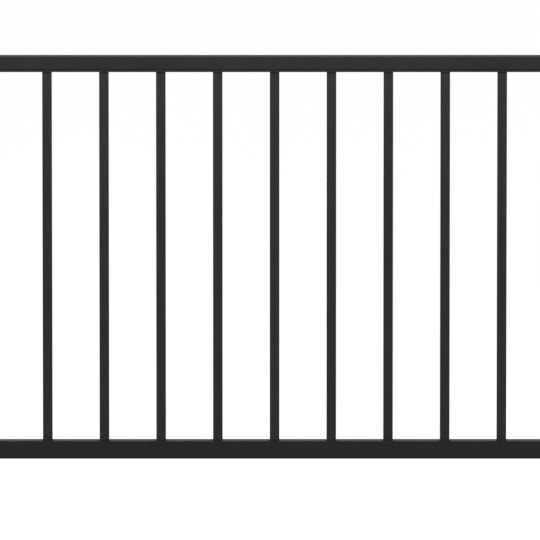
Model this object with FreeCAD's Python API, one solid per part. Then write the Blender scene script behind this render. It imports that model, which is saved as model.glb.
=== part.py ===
# Deck railing section: an aluminium panel that spans between two posts.
# Square balusters pass through punched holes in both rails: they stand on the lips of the bottom rail's
# channel and end between the walls of the top rail's base, where a cap snaps over them.
# Four saddle brackets hold the rail ends against the post faces.
# Millimetres: X runs along the section from the left post face, Y through its thickness, Z up.
# The origin is the middle of the mounting face of the lower left bracket.

import FreeCAD, Part
import math
import os

from FreeCAD import Vector

# Section as a whole
section_length = 1828.8  # from post face to post face, 72 in
panel_height = 852.0  # underside of the bottom rail to the top of the cap

# Balusters
baluster_width = 20.0  # square tube
baluster_pitch = 119.06  # leaves gaps of just under 100 mm
baluster_wall = 1.4
baluster_corner = 1.0
baluster_end_space = 50.0  # least room between the last baluster and the post
baluster_tenon = 14.0  # how far a baluster reaches up into the top rail
punch_clearance = 0.2  # round a baluster in its holes

# Bottom rail, a channel that opens downwards
bottom_rail_height = 37.2
bottom_rail_web = 2.4
bottom_rail_wall = 1.8
bottom_rail_corner = 1.0
bottom_rail_lip = 2.0  # thickness of the inward return at the foot of each wall
bottom_rail_seat = 2.0  # how far each return reaches in under the balusters

# Top rail base, a channel that opens upwards
top_rail_height = 32.6  # base and cap together
base_web = 2.4
base_wall = 2.4  # between the balusters and the cap
base_lip_height = 4.5  # full-depth strip that shows below the cap
base_corner = 1.0

# Top rail cap
cap_top = 1.8
cap_wall = 2.2
cap_corner = 2.0
shadow_gap = 1.0  # open line between the cap and the strip below it

# Snap between cap and base
snap_barb = 0.6  # how far the base's barbs reach into the cap's grooves
snap_ramp = 1.5  # height of a barb
snap_clearance = 0.2  # between the cap's legs and the base's walls
snap_play = 0.1  # round a barb in its groove

edge_break = 0.4  # small rounding on free edges

# Brackets
plate_thickness = 4.0
plate_corner = 6.0
plate_edge = 1.0
plate_drop = 8.0  # how far the plate reaches below the rail
plate_rise = 10.0  # how far the plate reaches above the saddle
saddle_reach = 38.0  # from the post face
saddle_height = 22.0  # cheeks, above the underside of the rail
saddle_cheek = 3.0
saddle_shelf = 3.0
saddle_corner = 2.0
saddle_nose = 9.0  # rounding of the cheeks' front corners
saddle_root = 1.5  # bevel where the saddle meets the plate
rail_side_clearance = 0.25
rail_end_clearance = 1.5
post_screw_hole = 5.5
post_screw_room = 7.0  # from a hole's middle to the saddle
post_screw_margin = 6.25  # from a hole's middle to the plate's edges
rail_screw_hole = 4.6
rail_screw_height = 12.0  # above the underside of the rail
rail_screw_reach = 24.0  # from the post face

# Sizes and places that follow from those above
wrap = punch_clearance + base_wall + snap_clearance + cap_wall  # what covers a baluster's side in the top rail
rail_depth = baluster_width + 2 * wrap  # both rails
seat_half = rail_depth / 2 + rail_side_clearance
saddle_half = seat_half + saddle_cheek
post_screw_y = saddle_half + post_screw_room
plate_width = 2 * (post_screw_y + post_screw_margin)
plate_height = plate_drop + saddle_height + plate_rise
post_screw_z = plate_height / 2 - post_screw_margin
bottom_rail_z = plate_drop - plate_height / 2
top_rail_z = bottom_rail_z + panel_height - top_rail_height
baluster_foot_z = bottom_rail_z + bottom_rail_lip
rail_start = plate_thickness + rail_end_clearance
rail_length = section_length - 2 * rail_start
cap_leg_end = base_lip_height + shadow_gap  # above the base's underside, as are the next two
cap_seat = top_rail_height - cap_top
snap_height = (cap_leg_end + cap_seat - snap_ramp) / 2  # underside of the barbs, halfway up the cap's legs
touching = 1e-4  # two points nearer than this are the same point


def rounded_wire(corners):
    """Closed wire through (point, radius) corners, each rounded by a tangent arc unless its radius is 0."""
    stretches = []
    for i, (corner, radius) in enumerate(corners):
        to_last = (corners[i - 1][0] - corner).normalize()
        to_next = (corners[(i + 1) % len(corners)][0] - corner).normalize()
        half_angle = to_last.getAngle(to_next) / 2
        setback = radius / math.tan(half_angle)
        inward = (to_last + to_next).normalize()
        middle = corner + inward * (radius / math.sin(half_angle) - radius)
        stretches.append((corner + to_last * setback, middle, corner + to_next * setback))
    edges = []
    for i, (start, middle, end) in enumerate(stretches):
        edges.append(Part.LineSegment(stretches[i - 1][2], start).toShape())
        if start.distanceToPoint(end) > touching:
            edges.append(Part.Arc(start, middle, end).toShape())
    return Part.Wire(edges)


def mirrored_wire(half):
    """Closed wire across the rail: the (y, z, radius) corners of its front half and their mirror images."""
    front = [(Vector(0, -y, z), radius) for y, z, radius in half]
    back = [(Vector(0, y, z), radius) for y, z, radius in reversed(half)]
    return rounded_wire(front + back)


def rectangle_wire(low, high, radius):
    """Rounded rectangle between two opposite corners that share one coordinate."""
    span = high - low
    across = [Vector(span.x, 0, 0), Vector(0, span.y, 0), Vector(0, 0, span.z)]
    first, second = [side for side in across if side.Length > touching]
    corners = [low, low + first, high, low + second]
    return rounded_wire([(corner, radius) for corner in corners])


def extruded(wire, travel):
    """Solid swept by a closed flat wire along a straight line."""
    return Part.Face(wire).extrude(travel)


def edges_on(solid, wire):
    """Edges of a solid that lie along a wire."""

    def lies_on(edge):
        middle = (edge.FirstParameter + edge.LastParameter) / 2
        points = [edge.valueAt(p) for p in (edge.FirstParameter, middle, edge.LastParameter)]
        return all(wire.distToShape(Part.Vertex(point))[0] < touching for point in points)

    return [edge for edge in solid.Edges if lies_on(edge)]


def baluster_positions():
    """Places of the balusters along X: as many as fit at the pitch, centred between the posts."""
    room = section_length - 2 * baluster_end_space - baluster_width
    bays = int(room // baluster_pitch)
    first = (section_length - bays * baluster_pitch) / 2
    return [first + i * baluster_pitch for i in range(bays + 1)]


def punched(rail, z, thickness):
    """Rail with a square hole through its web for each baluster."""
    side = baluster_width + 2 * punch_clearance
    holes = []
    for x in baluster_positions():
        corner = Vector(x - side / 2, -side / 2, z)
        holes.append(Part.makeBox(side, side, thickness, corner))
    return rail.cut(holes)


def bottom_rail():
    """Channel with its punched web on top and a return lip at the foot of each wall."""
    outside = rail_depth / 2
    inside = outside - bottom_rail_wall
    lip_edge = baluster_width / 2 - bottom_rail_seat
    half = [
        (outside, bottom_rail_height, bottom_rail_corner),
        (outside, 0, edge_break),
        (lip_edge, 0, edge_break),
        (lip_edge, bottom_rail_lip, 0),
        (inside, bottom_rail_lip, 0),
        (inside, bottom_rail_height - bottom_rail_web, 0),
    ]
    rail = extruded(mirrored_wire(half), Vector(rail_length, 0, 0))
    rail.translate(Vector(rail_start, 0, bottom_rail_z))
    return punched(rail, bottom_rail_z + bottom_rail_height - bottom_rail_web, bottom_rail_web)


def top_rail_base():
    """Channel that guides the balusters, with a strip that shows below the cap and barbs to hold it."""
    outside = rail_depth / 2
    wall_outside = outside - cap_wall - snap_clearance
    wall_inside = wall_outside - base_wall
    half = [
        (outside, 0, base_corner),
        (outside, base_lip_height, edge_break),
        (wall_outside, base_lip_height, 0),
        (wall_outside, snap_height, 0),
        (wall_outside + snap_barb, snap_height, 0),
        (wall_outside, snap_height + snap_ramp, 0),
        (wall_outside, cap_seat, 0),
        (wall_inside, cap_seat, 0),
        (wall_inside, base_web, 0),
    ]
    rail = extruded(mirrored_wire(half), Vector(rail_length, 0, 0))
    rail.translate(Vector(rail_start, 0, top_rail_z))
    return punched(rail, top_rail_z, base_web)


def top_rail_cap():
    """Cover that rests on the base's walls, with grooves inside its legs that the barbs catch in."""
    outside = rail_depth / 2
    inside = outside - cap_wall
    groove = inside - snap_clearance + snap_barb + snap_play
    groove_floor = snap_height - snap_play
    groove_roof = snap_height + snap_ramp + snap_play
    half = [
        (outside, top_rail_height, cap_corner),
        (outside, cap_leg_end, edge_break),
        (inside, cap_leg_end, edge_break),
        (inside, groove_floor, 0),
        (groove, groove_floor, 0),
        (inside, groove_roof, 0),
        (inside, cap_seat, 0),
    ]
    cap = extruded(mirrored_wire(half), Vector(rail_length, 0, 0))
    cap.translate(Vector(rail_start, 0, top_rail_z))
    return cap


def baluster():
    """Square tube on the XY plane, as long as from the bottom rail's lips to its top in the top rail."""
    length = top_rail_z + baluster_tenon - baluster_foot_z
    half = baluster_width / 2
    outline = rectangle_wire(Vector(-half, -half, 0), Vector(half, half, 0), baluster_corner)
    bore_side = baluster_width - 2 * baluster_wall
    bore = Part.makeBox(bore_side, bore_side, length, Vector(-bore_side / 2, -bore_side / 2, 0))
    return extruded(outline, Vector(0, 0, length)).cut(bore)


def bracket_plate():
    """Plate that lies on the post, with its front edge bevelled."""
    low = Vector(0, -plate_width / 2, -plate_height / 2)
    high = Vector(0, plate_width / 2, plate_height / 2)
    outline = rectangle_wire(low, high, plate_corner)
    plate = extruded(outline, Vector(plate_thickness, 0, 0))
    outline.translate(Vector(plate_thickness, 0, 0))
    return plate.makeChamfer(plate_edge, edges_on(plate, outline))


def bracket_block(section):
    """Block that the rail's seat is cut from, rounded at the front corners of its cheeks."""
    block = extruded(section, Vector(saddle_reach, 0, 0))
    low = bottom_rail_z - saddle_shelf
    high = bottom_rail_z + saddle_height
    profile = [
        (Vector(0, -saddle_half, low), 0),
        (Vector(saddle_reach, -saddle_half, low), edge_break),
        (Vector(saddle_reach, -saddle_half, high), saddle_nose),
        (Vector(0, -saddle_half, high), 0),
    ]
    return block.common(extruded(rounded_wire(profile), Vector(0, 2 * saddle_half, 0)))


def bracket():
    """Bracket on the left post: a plate screwed to the post, and a saddle that the rail drops into."""
    section = mirrored_wire(
        [
            (saddle_half, bottom_rail_z + saddle_height, edge_break),
            (saddle_half, bottom_rail_z - saddle_shelf, saddle_corner),
        ]
    )
    body = bracket_plate().fuse(bracket_block(section)).removeSplitter()
    section.translate(Vector(plate_thickness, 0, 0))
    body = body.makeChamfer(saddle_root, edges_on(body, section))

    seat = Vector(plate_thickness, -seat_half, bottom_rail_z)
    rail_screw = Vector(rail_screw_reach, -saddle_half, bottom_rail_z + rail_screw_height)
    cuts = [
        Part.makeBox(saddle_reach, 2 * seat_half, plate_height, seat),
        Part.makeCylinder(rail_screw_hole / 2, 2 * saddle_half, rail_screw, Vector(0, 1, 0)),
    ]
    for y in (-post_screw_y, post_screw_y):
        for z in (-post_screw_z, post_screw_z):
            hole = Part.makeCylinder(post_screw_hole / 2, plate_thickness, Vector(0, y, z), Vector(1, 0, 0))
            cuts.append(hole)
    return body.cut(cuts)


def placed_brackets():
    """The four brackets by name: those on the right are the left ones turned to face the other post."""
    left = bracket()
    right = left.copy()
    right.rotate(Vector(0, 0, 0), Vector(0, 0, 1), 180)
    right.translate(Vector(section_length, 0, 0))
    lift = {"bottom": 0, "top": top_rail_z - bottom_rail_z}
    placed = {}
    for side, shape in (("left", left), ("right", right)):
        for level, rise in lift.items():
            copy = shape.copy()
            copy.translate(Vector(0, 0, rise))
            placed[f"bracket_{side}_{level}"] = copy
    return placed


def placed_balusters():
    """The balusters by name, counted from the left post."""
    first = baluster()
    placed = {}
    for number, x in enumerate(baluster_positions(), start=1):
        copy = first.copy()
        copy.translate(Vector(x, 0, baluster_foot_z))
        placed[f"baluster_{number:02d}"] = copy
    return placed


def main():
    """Writes one STEP file for each piece."""
    os.makedirs("parts", exist_ok=True)
    pieces = {
        "top_rail_cap": top_rail_cap(),
        "top_rail_base": top_rail_base(),
        "bottom_rail": bottom_rail(),
        **placed_balusters(),
        **placed_brackets(),
    }
    for name, shape in pieces.items():
        shape.exportStep(f"parts/{name}.step")


main()
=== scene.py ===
"""Deck railing section in satin black powder coat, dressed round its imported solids.

The rails, balusters and brackets keep the shapes of the solids and get their coats here.
The screws that hold the rails in the brackets are made here.
All lengths are in metres: X runs along the section, Y through it and Z up.
The viewer stands on the -Y side.
"""

import logging
import math
from dataclasses import dataclass
from enum import Enum
from typing import Union

import bmesh
import bpy
from mathutils import Matrix, Vector

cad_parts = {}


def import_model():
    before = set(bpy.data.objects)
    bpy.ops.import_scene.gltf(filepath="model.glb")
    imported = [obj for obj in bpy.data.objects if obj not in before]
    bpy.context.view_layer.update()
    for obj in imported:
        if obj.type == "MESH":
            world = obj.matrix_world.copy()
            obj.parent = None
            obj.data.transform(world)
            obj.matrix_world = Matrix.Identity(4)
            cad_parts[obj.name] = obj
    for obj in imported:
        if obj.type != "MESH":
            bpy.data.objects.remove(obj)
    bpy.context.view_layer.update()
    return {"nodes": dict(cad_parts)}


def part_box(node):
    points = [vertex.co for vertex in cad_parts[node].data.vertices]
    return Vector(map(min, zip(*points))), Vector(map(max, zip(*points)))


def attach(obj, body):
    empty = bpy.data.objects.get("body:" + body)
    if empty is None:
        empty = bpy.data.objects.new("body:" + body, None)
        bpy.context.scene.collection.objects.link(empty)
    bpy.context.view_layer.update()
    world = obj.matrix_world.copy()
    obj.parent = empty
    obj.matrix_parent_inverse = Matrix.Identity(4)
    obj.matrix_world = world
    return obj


BODY = "root"
BOTTOM_RAIL = "bottom_rail"
MM = 0.001
NOISE_MEAN = 0.5

Colour = tuple[float, float, float]
Range = tuple[float, float]
Solids = dict[str, bpy.types.Object]

WHITE: Colour = (1.0, 1.0, 1.0)
KEY_TINT: Colour = (0.99, 0.98, 1.04)

log = logging.getLogger("railing")


class Side(Enum):
    """Ends of the section, by the way along X that their brackets face."""

    LEFT = 1
    RIGHT = -1


class Level(Enum):
    """Heights at which the brackets hold a rail."""

    BOTTOM = "bottom"
    TOP = "top"


class Cheek(Enum):
    """Walls of a bracket's saddle, by the way along Y that they face."""

    FRONT = -1
    BACK = 1


class Value:
    """One output of a shader node, which Python arithmetic turns into more nodes."""

    def __init__(self, shader: "Shader", socket: bpy.types.NodeSocket) -> None:
        """Wraps an output socket of a shader's node."""
        self.shader = shader
        self.socket = socket

    def _math(self, operation: str, first: "Number", second: "Number") -> "Value":
        """Adds a Math node."""
        return self.shader.node("ShaderNodeMath", {"operation": operation}, {0: first, 1: second})

    def __add__(self, other: "Number") -> "Value":
        """Sum."""
        return self._math("ADD", self, other)

    __radd__ = __add__

    def __sub__(self, other: "Number") -> "Value":
        """Difference."""
        return self._math("SUBTRACT", self, other)

    def __rsub__(self, other: "Number") -> "Value":
        """Difference, the other way round."""
        return self._math("SUBTRACT", other, self)

    def __mul__(self, other: "Number") -> "Value":
        """Product."""
        return self._math("MULTIPLY", self, other)

    __rmul__ = __mul__

    def at_most(self, limit: "Number") -> "Value":
        """The smaller of this and a limit."""
        return self._math("MINIMUM", self, limit)

    def rising(self, low: float, high: float) -> "Value":
        """Smooth step from 0 at low to 1 at high."""
        sockets = {"Value": self, "From Min": low, "From Max": high}
        return self.shader.node("ShaderNodeMapRange", {"interpolation_type": "SMOOTHSTEP"}, sockets)


Number = Union[float, Value]
Paint = Union[Colour, Value]


@dataclass(frozen=True)
class Grain:
    """Cloudy noise in a coat."""

    scale: float  # features to the metre
    detail: float  # finer layers that are added
    roughness: float  # how strongly the finer layers show


class Shader:
    """Node tree of a material or of the world."""

    def __init__(self, owner: Union[bpy.types.Material, bpy.types.World]) -> None:
        """Empties the owner's node tree.

        Args:
            owner: the material or world that the nodes are for.
        """
        owner.use_nodes = True
        self.tree = owner.node_tree
        self.tree.nodes.clear()

    def node(self, kind: str, settings: dict, inputs: dict, output: Union[int, str] = 0) -> Value:
        """Adds a node.

        Args:
            kind: the node's type.
            settings: its own properties, which are set first.
            inputs: a number, colour or Value for each input socket, by name or place.
            output: the output socket to hand back, by name or place.

        Returns:
            That output.
        """
        made = self.tree.nodes.new(kind)
        for name, setting in settings.items():
            setattr(made, name, setting)
        for name, given in inputs.items():
            socket = self.socket(made.inputs, name)
            if isinstance(given, Value):
                self.tree.links.new(given.socket, socket)
            else:
                socket.default_value = given
        return Value(self, self.socket(made.outputs, output))

    @staticmethod
    def socket(sockets: bpy.types.bpy_prop_collection, name: Union[int, str]) -> bpy.types.NodeSocket:
        """Finds a socket among those that a node's settings leave in use.

        Args:
            sockets: the node's inputs or outputs.
            name: the socket's name, or its place among those in use.

        Returns:
            The socket.
        """
        in_use = [socket for socket in sockets if socket.enabled]
        if isinstance(name, int):
            return in_use[name]
        return next(socket for socket in in_use if socket.name == name)

    def finish(self, kind: str, surface: Value) -> None:
        """Links a surface to the tree's output node."""
        made = self.tree.nodes.new(kind)
        self.tree.links.new(surface.socket, made.inputs["Surface"])

    def noise(self, place: Value, grain: Grain) -> Value:
        """Makes cloudy noise.

        Args:
            place: the point on the surface.
            grain: how fine the noise is.

        Returns:
            Values from 0 to 1.
        """
        sockets = {
            "Vector": place,
            "Scale": grain.scale,
            "Detail": grain.detail,
            "Roughness": grain.roughness,
        }
        return self.node("ShaderNodeTexNoise", {}, sockets, "Fac")

    def mixed(self, share: Number, first: Paint, second: Paint) -> Value:
        """Blends two colours.

        Args:
            share: how much of the second there is, from 0 to 1.
            first: the colour where share is 0.
            second: the colour where share is 1.

        Returns:
            The blend.
        """
        ends = [colour if isinstance(colour, Value) else opaque(colour) for colour in (first, second)]
        sockets = {"Factor": share, "A": ends[0], "B": ends[1]}
        return self.node("ShaderNodeMix", {"data_type": "RGBA"}, sockets)

    def seen_directly(self) -> Value:
        """Tells the camera's rays from scattered light.

        Returns:
            1 for what the camera sees, also in a mirror or through glass, and 0 for scattered light.
        """
        kinds = ("Is Camera Ray", "Is Glossy Ray", "Is Transmission Ray")
        camera, mirror, glass = [self.node("ShaderNodeLightPath", {}, {}, kind) for kind in kinds]
        return (camera + mirror + glass).at_most(1.0)


def opaque(colour: Colour) -> tuple[float, float, float, float]:
    """Colour as a colour socket takes it, with full alpha."""
    return (*colour, 1.0)


@dataclass(frozen=True)
class PowderCoat:
    """Baked powder coat on metal: fine orange peel, cloudy gloss, and a lighter tone on what faces up,
    partly dust and partly painted top light.
    """

    name: str
    colour: Colour
    roughness: float = 0.58
    specular: float = 0.06

    # Relief
    peel: Grain = Grain(520.0, 2.0, 0.5)
    sand: Grain = Grain(2100.0, 1.0, 0.5)
    peel_share: float = 0.6  # of the relief; the rest is sand
    relief: float = 0.4 * MM

    # Tone
    cloud: Grain = Grain(9.0, 3.0, 0.55)
    cloud_range: Range = (0.3, 0.7)  # noise over which the tone turns from deep to light
    mottle: float = 0.06  # how far the tone strays either way

    # Gloss
    patches: Grain = Grain(65.0, 2.0, 0.5)
    patch_gloss: float = 0.10  # spread of the roughness over the patches
    sand_gloss: float = 0.06  # spread of the roughness over the sand

    # Dust, and painted light on the top faces
    dust_and_top_light: float = 0.10
    dust_and_top_light_colour: Colour = (0.055, 0.053, 0.050)
    dust_gloss: float = 0.05  # what dust adds to the roughness
    dust_and_top_light_grain: Grain = Grain(38.0, 4.0, 0.65)
    dust_and_top_light_range: Range = (0.35, 0.75)  # noise over which a bare face turns lighter, with dust and painted top light
    level_range: Range = (0.55, 0.95)  # upward part of the normal over which the dust and the painted top light build up

    def material(self) -> bpy.types.Material:
        """Builds the material.

        Returns:
            The material, ready to assign.
        """
        made = bpy.data.materials.new(self.name)
        shader = Shader(made)
        place = shader.node("ShaderNodeNewGeometry", {}, {}, "Position")
        sand = shader.noise(place, self.sand)
        dust_and_top_light_mask = self.dust_and_top_light_mask(shader, place)
        sockets = {
            "Base Color": self.tone(shader, place, dust_and_top_light_mask),
            "Roughness": self.gloss(shader, place, sand, dust_and_top_light_mask),
            "Specular IOR Level": self.specular,
            "Normal": self.bump(shader, place, sand),
        }
        surface = shader.node("ShaderNodeBsdfPrincipled", {}, sockets)
        shader.finish("ShaderNodeOutputMaterial", surface)
        return made

    def dust_and_top_light_mask(self, shader: Shader, place: Value) -> Value:
        """Works out where the coat turns lighter on up-facing faces, partly dust and partly painted
        top light.

        Args:
            shader: the material's nodes.
            place: the point on the surface.

        Returns:
            0 where the coat is bare and 1 where the dust and the painted top light lie.
        """
        facing = shader.node("ShaderNodeNewGeometry", {}, {}, "Normal")
        up = shader.node("ShaderNodeSeparateXYZ", {}, {"Vector": facing}, "Z")
        dust_and_light_patches = shader.noise(place, self.dust_and_top_light_grain)
        return up.rising(*self.level_range) * dust_and_light_patches.rising(*self.dust_and_top_light_range)

    def tone(self, shader: Shader, place: Value, dust_and_top_light_mask: Value) -> Value:
        """Mottles the coat's colour and lightens what faces up with dust and painted top light.

        Args:
            shader: the material's nodes.
            place: the point on the surface.
            dust_and_top_light_mask: where the dust and the painted top light lie.

        Returns:
            The colour.
        """
        deep = tuple((1 - self.mottle) * part for part in self.colour)
        light = tuple((1 + self.mottle) * part for part in self.colour)
        cloud = shader.noise(place, self.cloud)
        coat = shader.mixed(cloud.rising(*self.cloud_range), deep, light)
        # Lighter on up-facing faces: dust, and painted light on the top faces.
        return shader.mixed(dust_and_top_light_mask * self.dust_and_top_light, coat, self.dust_and_top_light_colour)

    def gloss(self, shader: Shader, place: Value, sand: Value, dust_and_top_light_mask: Value) -> Value:
        """Varies the roughness.

        Args:
            shader: the material's nodes.
            place: the point on the surface.
            sand: the coat's finest grain.
            dust_and_top_light_mask: where the dust and the painted top light lie.

        Returns:
            The roughness.
        """
        patches = shader.noise(place, self.patches)
        uneven = self.patch_gloss * (patches - NOISE_MEAN) + self.sand_gloss * (sand - NOISE_MEAN)
        return self.roughness + uneven + self.dust_gloss * dust_and_top_light_mask

    def bump(self, shader: Shader, place: Value, sand: Value) -> Value:
        """Raises the orange peel and the sand.

        Args:
            shader: the material's nodes.
            place: the point on the surface.
            sand: the coat's finest grain.

        Returns:
            The normal.
        """
        peel = shader.noise(place, self.peel)
        height = self.peel_share * peel + (1 - self.peel_share) * sand
        sockets = {"Strength": 1.0, "Distance": self.relief, "Height": height}
        return shader.node("ShaderNodeBump", {}, sockets, "Normal")


RAIL_COAT = PowderCoat("rail_powder_coat", (0.0210, 0.0208, 0.0215))
# Lighter copy of the rail coat with lower specular; the extra lightness is painted light on the top
# rail's face, in place of the reflection that the lower specular takes away.
CAP_COAT = PowderCoat("cap_powder_coat", (0.0240, 0.0238, 0.0245), specular=0.02)
# The rail coat painted lighter: painted light that makes the balusters brighter than the rails.
BALUSTER_COAT = PowderCoat("baluster_powder_coat", (0.0266, 0.0263, 0.0272))
BRACKET_COAT = PowderCoat("bracket_powder_coat", (0.0212, 0.0212, 0.0220), peel=Grain(380.0, 2.0, 0.5))
SCREW_COAT = PowderCoat("screw_coat", (0.0240, 0.0240, 0.0247), roughness=0.42, specular=0.3, dust_and_top_light=0.0)


def dress(piece: bpy.types.Object, material: bpy.types.Material) -> None:
    """Gives a piece one material all over.

    Args:
        piece: a solid of the frame or a new piece.
        material: its finish.
    """
    if not piece.material_slots:
        piece.data.materials.append(material)
    for slot in piece.material_slots:
        slot.material = material
    log.info("%s wears %s", piece.name, material.name)


@dataclass
class Rails:
    """Top rail, made of a base and a cap that snaps over it, and bottom rail."""

    finish: PowderCoat = RAIL_COAT
    cap_finish: PowderCoat = CAP_COAT
    channels: tuple[str, ...] = ("top_rail_base", BOTTOM_RAIL)
    cap: str = "top_rail_cap"

    def build(self, solids: Solids) -> None:
        """Dresses the rails' solids.

        Args:
            solids: all solids of the frame by name.
        """
        coat = self.finish.material()
        for node in self.channels:
            dress(solids[node], coat)
        dress(solids[self.cap], self.cap_finish.material())


@dataclass
class Balusters:
    """Square uprights between the rails."""

    finish: PowderCoat = BALUSTER_COAT
    prefix: str = "baluster_"

    def build(self, solids: Solids) -> None:
        """Dresses every baluster's solid.

        Args:
            solids: all solids of the frame by name.
        """
        coat = self.finish.material()
        for node in sorted(name for name in solids if name.startswith(self.prefix)):
            dress(solids[node], coat)


@dataclass(frozen=True)
class Screw:
    """Pan-head screw with a square socket. Its head stands on the XY plane before it is placed."""

    head_radius: float = 4.6 * MM
    head_height: float = 2.7 * MM
    head_edge: float = 0.2 * MM  # bevel round the head's underside
    rim_height: float = 1.2 * MM  # where the head's shoulder starts to round
    flat_radius: float = 2.85 * MM  # where the shoulder meets the flat top
    shank_radius: float = 2.1 * MM
    shank_length: float = 2.9 * MM  # ends inside the cheek, short of the rail
    socket_side: float = 3.4 * MM
    socket_depth: float = 1.7 * MM
    steps: int = 32  # round a circle
    shoulder_steps: int = 4
    sharp_angle: float = math.radians(35.0)  # edges that bend more than this stay crisp

    def add_to(self, shape: bmesh.types.BMesh, place: Matrix) -> None:
        """Adds the screw to a mesh.

        Args:
            shape: the mesh that it is added to.
            place: where it goes.
        """
        rings = [
            self.circle(self.shank_radius, -self.shank_length),
            self.circle(self.shank_radius, 0.0),
            self.circle(self.head_radius - self.head_edge, 0.0),
            self.circle(self.head_radius, self.head_edge),
            *self.shoulder(),
            self.square(self.socket_side / 2, self.head_height),
            self.square(self.socket_side / 2, self.head_height - self.socket_depth),
        ]
        loops = [[shape.verts.new(place @ point) for point in ring] for ring in rings]
        for inner, outer in zip(loops, loops[1:]):
            for i in range(self.steps):
                j = (i + 1) % self.steps
                shape.faces.new((inner[i], inner[j], outer[j], outer[i]))
        shape.faces.new(list(reversed(loops[0])))
        shape.faces.new(loops[-1])

    def shoulder(self) -> list[list[Vector]]:
        """Rounds the head's shoulder, from its straight rim to its flat top.

        Returns:
            Circles, lowest first.
        """
        circles = []
        for step in range(self.shoulder_steps + 1):
            turn = math.pi / 2 * step / self.shoulder_steps
            radius = self.flat_radius + (self.head_radius - self.flat_radius) * math.cos(turn)
            height = self.rim_height + (self.head_height - self.rim_height) * math.sin(turn)
            circles.append(self.circle(radius, height))
        return circles

    def circle(self, radius: float, height: float) -> list[Vector]:
        """Points round a circle at a height."""
        angles = [2 * math.pi * (i + 0.5) / self.steps for i in range(self.steps)]
        return [Vector((radius * math.cos(a), radius * math.sin(a), height)) for a in angles]

    def square(self, half: float, height: float) -> list[Vector]:
        """Finds points round a square, each on the ray of the matching point of a circle.

        Args:
            half: half of the square's side.
            height: the height that it lies at.

        Returns:
            As many points as a circle has.
        """
        points = []
        for point in self.circle(1.0, 0.0):
            reach = half / max(abs(point.x), abs(point.y))
            points.append(Vector((point.x * reach, point.y * reach, height)))
        return points


@dataclass
class Brackets:
    """Saddles that hold the rail ends, with the screws through their cheeks."""

    finish: PowderCoat = BRACKET_COAT
    screw_finish: PowderCoat = SCREW_COAT
    screw: Screw = Screw()
    screw_reach: float = 24.0 * MM  # from the post face
    cheek_thickness: float = 3.0 * MM
    side_clearance: float = 0.25 * MM  # between the rail and a cheek

    def build(self, solids: Solids) -> None:
        """Dresses the brackets' solids and screws the rails to them.

        Args:
            solids: all solids of the frame by name.
        """
        coat = self.finish.material()
        screw_coat = self.screw_finish.material()
        for side in Side:
            for level in Level:
                node = f"bracket_{side.name.lower()}_{level.value}"
                dress(solids[node], coat)
                screws = self.screws(node, side)
                dress(screws, screw_coat)
                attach(screws, BODY)

    def screws(self, node: str, side: Side) -> bpy.types.Object:
        """Makes the two screws through one bracket's cheeks.

        Args:
            node: the bracket.
            side: the end of the section that it is on.

        Returns:
            One piece with both screws.
        """
        low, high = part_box(node)
        post_face = low.x if side is Side.LEFT else high.x
        middle = Vector((post_face + side.value * self.screw_reach, 0.0, (low.z + high.z) / 2))
        rail_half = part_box(BOTTOM_RAIL)[1].y
        cheek_face = rail_half + self.side_clearance + self.cheek_thickness
        shape = bmesh.new()
        for cheek in Cheek:
            turned = Matrix.Rotation(-cheek.value * math.pi / 2, 4, "X")
            seat = Matrix.Translation(middle + Vector((0.0, cheek.value * cheek_face, 0.0)))
            self.screw.add_to(shape, seat @ turned)
        mesh = bpy.data.meshes.new(f"{node}_screws")
        shape.to_mesh(mesh)
        shape.free()
        mesh.polygons.foreach_set("use_smooth", [True] * len(mesh.polygons))
        mesh.set_sharp_from_angle(angle=self.screw.sharp_angle)
        piece = bpy.data.objects.new(mesh.name, mesh)
        bpy.context.scene.collection.objects.link(piece)
        return piece


@dataclass(frozen=True)
class Softbox:
    """Rectangular soft lamp at the middle of the section's length, which the camera doesn't see."""

    name: str
    y: float
    z: float
    aim_z: float  # height on the section that it points at
    size: tuple[float, float]
    watts: float
    tint: Colour = WHITE

    def build(self, middle: float) -> None:
        """Hangs the lamp and turns it to the section.

        Args:
            middle: the middle of the section's length.
        """
        lamp = bpy.data.lights.new(self.name, "AREA")
        lamp.shape = "RECTANGLE"
        lamp.size, lamp.size_y = self.size
        lamp.energy = self.watts
        lamp.color = self.tint
        piece = bpy.data.objects.new(self.name, lamp)
        bpy.context.scene.collection.objects.link(piece)
        piece.visible_camera = False
        piece.location = (middle, self.y, self.z)
        towards = Vector((0.0, -self.y, self.aim_z - self.z))
        piece.rotation_euler = towards.to_track_quat("-Z", "Y").to_euler()


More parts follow.
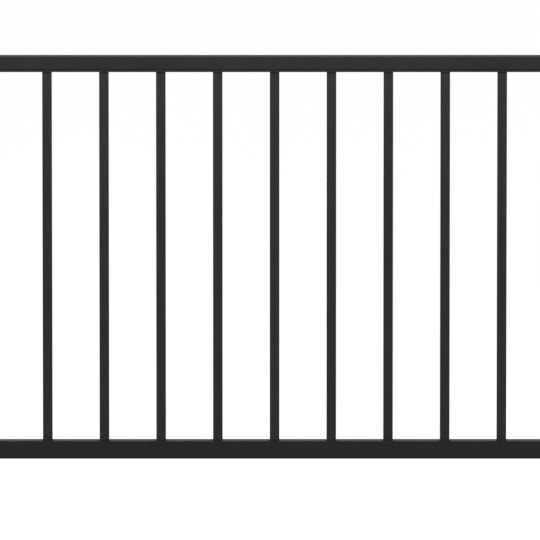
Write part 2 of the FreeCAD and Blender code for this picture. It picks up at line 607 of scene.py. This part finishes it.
@dataclass
class Studio:
    """Pale floor, white surround, soft light and the camera."""

    space_below: float = 62.4 * MM  # from the floor to the bottom rail
    floor_half: float = 400.0
    floor_colour: Colour = (0.80, 0.80, 0.80)
    floor_lift: float = 0.93  # how far the floor turns to plain white for the camera
    floor_glow: float = 1.05  # strength of that white
    ambient: float = 0.25  # strength of the surround as a light
    aim_shift: float = -9.6 * MM  # along the section, from its middle
    aim_height: float = 386.6 * MM
    elevation: float = math.radians(8.7)
    distance: float = 30.0
    lens: float = 953.9  # in millimetres
    farthest_view: float = 1600.0
    lamps: tuple[Softbox, ...] = (
        Softbox("key", y=-0.30, z=1.08, aim_z=0.78, size=(3.2, 0.12), watts=5.8, tint=KEY_TINT),
        Softbox("front_fill", y=-4.2, z=1.3, aim_z=0.4, size=(3.0, 2.0), watts=51.0),
        Softbox("overhead", y=0.3, z=3.2, aim_z=0.4, size=(3.0, 2.0), watts=80.0),
        Softbox("back_fill", y=1.5, z=0.72, aim_z=0.05, size=(3.0, 0.2), watts=4.0),
    )

    def build(self) -> None:
        """Sets up the stage round the section."""
        low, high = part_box(BOTTOM_RAIL)
        middle = (low.x + high.x) / 2
        scene = bpy.context.scene
        scene.view_settings.view_transform = "Standard"
        self.world(scene)
        self.floor(low.z - self.space_below)
        for lamp in self.lamps:
            lamp.build(middle)
        self.camera(scene, middle)
        log.info("studio is set")

    def world(self, scene: bpy.types.Scene) -> None:
        """Surrounds the scene with white, which lights the section at a plain level.

        Args:
            scene: the scene that it is for.
        """
        scene.world = bpy.data.worlds.new("surround")
        shader = Shader(scene.world)
        strength = self.ambient + (1.0 - self.ambient) * shader.seen_directly()
        sockets = {"Color": opaque(WHITE), "Strength": strength}
        shader.finish("ShaderNodeOutputWorld", shader.node("ShaderNodeBackground", {}, sockets))

    def floor(self, ground: float) -> None:
        """Lays a wide pale floor, which keeps a faint shadow.

        Args:
            ground: the height that it lies at.
        """
        half = self.floor_half
        corners = [(-half, -half), (half, -half), (half, half), (-half, half)]
        mesh = bpy.data.meshes.new("floor")
        mesh.from_pydata([(x, y, ground) for x, y in corners], [], [(0, 1, 2, 3)])
        piece = bpy.data.objects.new("floor", mesh)
        bpy.context.scene.collection.objects.link(piece)
        mesh.materials.append(self.floor_material())

    def floor_material(self) -> bpy.types.Material:
        """Builds the floor's finish: matt paint that shows as white to the camera.

        Returns:
            The material.
        """
        made = bpy.data.materials.new("pale_floor")
        shader = Shader(made)
        matt = shader.node("ShaderNodeBsdfDiffuse", {}, {"Color": opaque(self.floor_colour)})
        glow_sockets = {"Color": opaque(WHITE), "Strength": self.floor_glow}
        glow = shader.node("ShaderNodeEmission", {}, glow_sockets)
        share = self.floor_lift * shader.seen_directly()
        surface = shader.node("ShaderNodeMixShader", {}, {0: share, 1: matt, 2: glow})
        shader.finish("ShaderNodeOutputMaterial", surface)
        return made

    def camera(self, scene: bpy.types.Scene, middle: float) -> None:
        """Sets up a long lens far in front of the section, which looks slightly down on it.

        Args:
            scene: the scene that it is for.
            middle: the middle of the section's length.
        """
        lens = bpy.data.cameras.new("camera")
        lens.lens = self.lens
        lens.clip_end = self.farthest_view
        piece = bpy.data.objects.new("camera", lens)
        scene.collection.objects.link(piece)
        aim = Vector((middle + self.aim_shift, 0.0, self.aim_height))
        away = Vector((0.0, -math.cos(self.elevation), math.sin(self.elevation)))
        piece.location = aim + away * self.distance
        piece.rotation_euler = (math.pi / 2 - self.elevation, 0.0, 0.0)
        scene.camera = piece


def main() -> None:
    """Loads the solids, dresses them and sets up the studio."""
    logging.basicConfig(level=logging.INFO, format="%(message)s")
    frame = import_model()
    for assembly in (Rails(), Balusters(), Brackets()):
        assembly.build(frame["nodes"])
    Studio().build()


if __name__ == "__main__":
    main()
